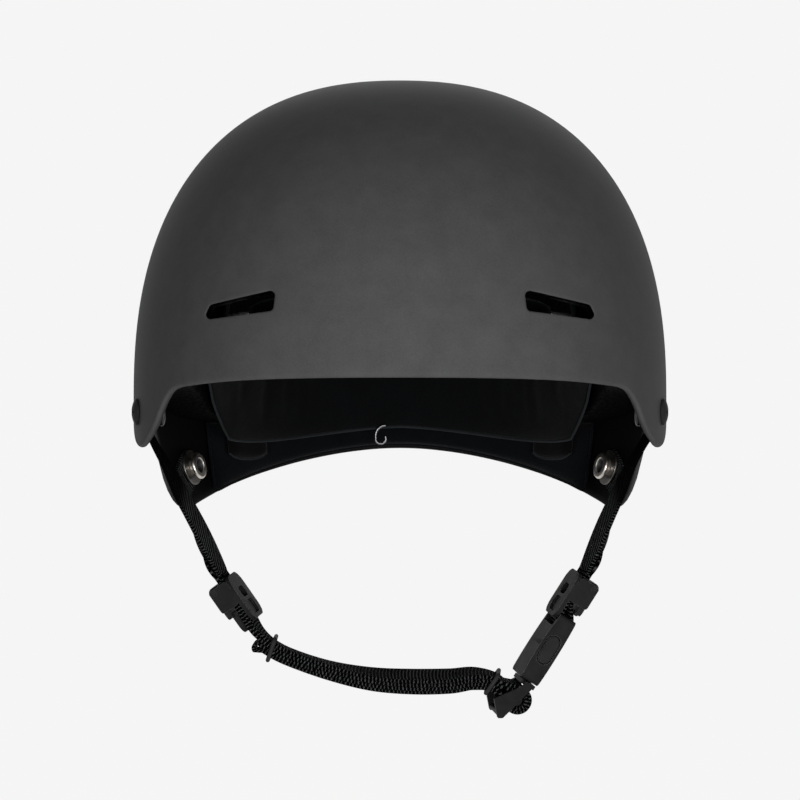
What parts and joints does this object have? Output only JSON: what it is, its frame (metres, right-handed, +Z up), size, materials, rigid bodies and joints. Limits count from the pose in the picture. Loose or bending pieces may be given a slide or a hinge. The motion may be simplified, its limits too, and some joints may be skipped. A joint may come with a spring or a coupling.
{
  "type": "skate helmet",
  "caption": "Matt black skate helmet: a round shell with vents and drop-down sides, foam liner, soft pads and a webbing chin harness with a side-release buckle.",
  "frame": {"origin": "On the middle plane, midway along the shell, at the height of the brow edge.", "axes": "+X to the wearer's left, +Y to the back of the head, +Z up"},
  "size_m": [0.215, 0.2635, 0.2569],
  "materials": {
    "shell_plastic": "matt black moulded shell with a fine soft-touch grain",
    "liner_foam": "black bead foam with a dull moulded skin",
    "pad_cloth": "black brushed nylon over soft foam",
    "nape_cloth": "black knitted cloth over soft foam",
    "hook_tape": "black hook tape",
    "screw_plastic": "black screw heads, a little glossy",
    "nickel": "nickel plate, slightly worn",
    "webbing": "black polypropylene webbing with fine cross ribs",
    "buckle_plastic": "satin black acetal with paler edges",
    "keeper_rubber": "smooth satin black rubber"
  },
  "bodies": {
    "helmet": {"shell": "shell_plastic", "foam_liner": "liner_foam", "brow_pad": "pad_cloth", "crown_pad": "pad_cloth", "side_pad_left": "pad_cloth", "side_pad_right": "pad_cloth", "rear_pad": "pad_cloth", "nape_pad": "nape_cloth", "spacer_pad_left": "nape_cloth", "spacer_pad_right": "nape_cloth", "hook_discs": "hook_tape", "front_anchor_screws": "screw_plastic", "rear_anchor_screws": "screw_plastic", "front_anchor_washers": "nickel", "rear_anchor_washers": "nickel", "front_barrel_nuts": "nickel", "rear_barrel_nuts": "nickel", "front_strap_left": "webbing", "rear_strap_left": "webbing", "front_strap_right": "webbing", "rear_strap_right": "webbing", "divider_frame_left": "buckle_plastic", "socket_web": "webbing", "buckle_socket": "buckle_plastic", "nape_ring": "nickel"},
    "chin_half": {"divider_frame_right": "buckle_plastic", "chin_web": "webbing", "buckle_plug": "buckle_plastic"},
    "divider_lever_left_body": {"divider_lever_left": "buckle_plastic"},
    "divider_lever_right_body": {"divider_lever_right": "buckle_plastic"},
    "prong_front_body": {"prong_front": "buckle_plastic"},
    "prong_rear_body": {"prong_rear": "buckle_plastic"},
    "keeper_ring_plug_end_body": {"keeper_ring_plug_end": "keeper_rubber"},
    "keeper_ring_fold_end_body": {"keeper_ring_fold_end": "keeper_rubber"}
  },
  "joints": [
    {"name": "harness_swing", "type": "hinge", "parent": "helmet", "child": "chin_half", "pos_m": [-0.097, 0, -0.01], "axis": [0, 1, 0], "range_deg": [0, 70], "deforming": ["front_strap_right", "rear_strap_right", "prong_front", "prong_rear"]},
    {"name": "prong_rear_squeeze", "type": "hinge", "parent": "chin_half", "child": "prong_rear_body", "pos_m": [0.05019, 0.00551, -0.11979], "axis": [0.8326, 0.1736, -0.526], "range_deg": [0, 7.5], "stiffness_Nm_per_rad": 0.4},
    {"name": "prong_front_squeeze", "type": "hinge", "parent": "chin_half", "child": "prong_front_body", "pos_m": [0.05184, -0.00551, -0.12082], "axis": [0.8326, 0.1736, -0.526], "range_deg": [-7.5, 0], "stiffness_Nm_per_rad": 0.4},
    {"name": "lever_left_lift", "type": "hinge", "parent": "helmet", "child": "divider_lever_left_body", "pos_m": [0.07697, 0.00043, -0.08383], "axis": [0.1468, -0.9848, -0.0927], "range_deg": [0, 80]},
    {"name": "lever_right_lift", "type": "hinge", "parent": "chin_half", "child": "divider_lever_right_body", "pos_m": [-0.07388, 0.00043, -0.08549], "axis": [0.1422, 0.9848, 0.0996], "range_deg": [0, 80]},
    {"name": "plug_end_ring_slide", "type": "hinge", "parent": "chin_half", "child": "keeper_ring_plug_end_body", "pos_m": [0.03372, -0.00056, -0.13174], "axis": [0.0308, 0.9967, 0.0754], "range_deg": [-14, 0]},
    {"name": "fold_end_ring_slide", "type": "slide", "parent": "chin_half", "child": "keeper_ring_fold_end_body", "axis": [0.8589, 0, -0.5122], "range_m": [0, 0.003]}
  ],
  "couplings": [
    {"joint": "prong_front_squeeze", "follows": "prong_rear_squeeze", "ratio": -1}
  ]
}
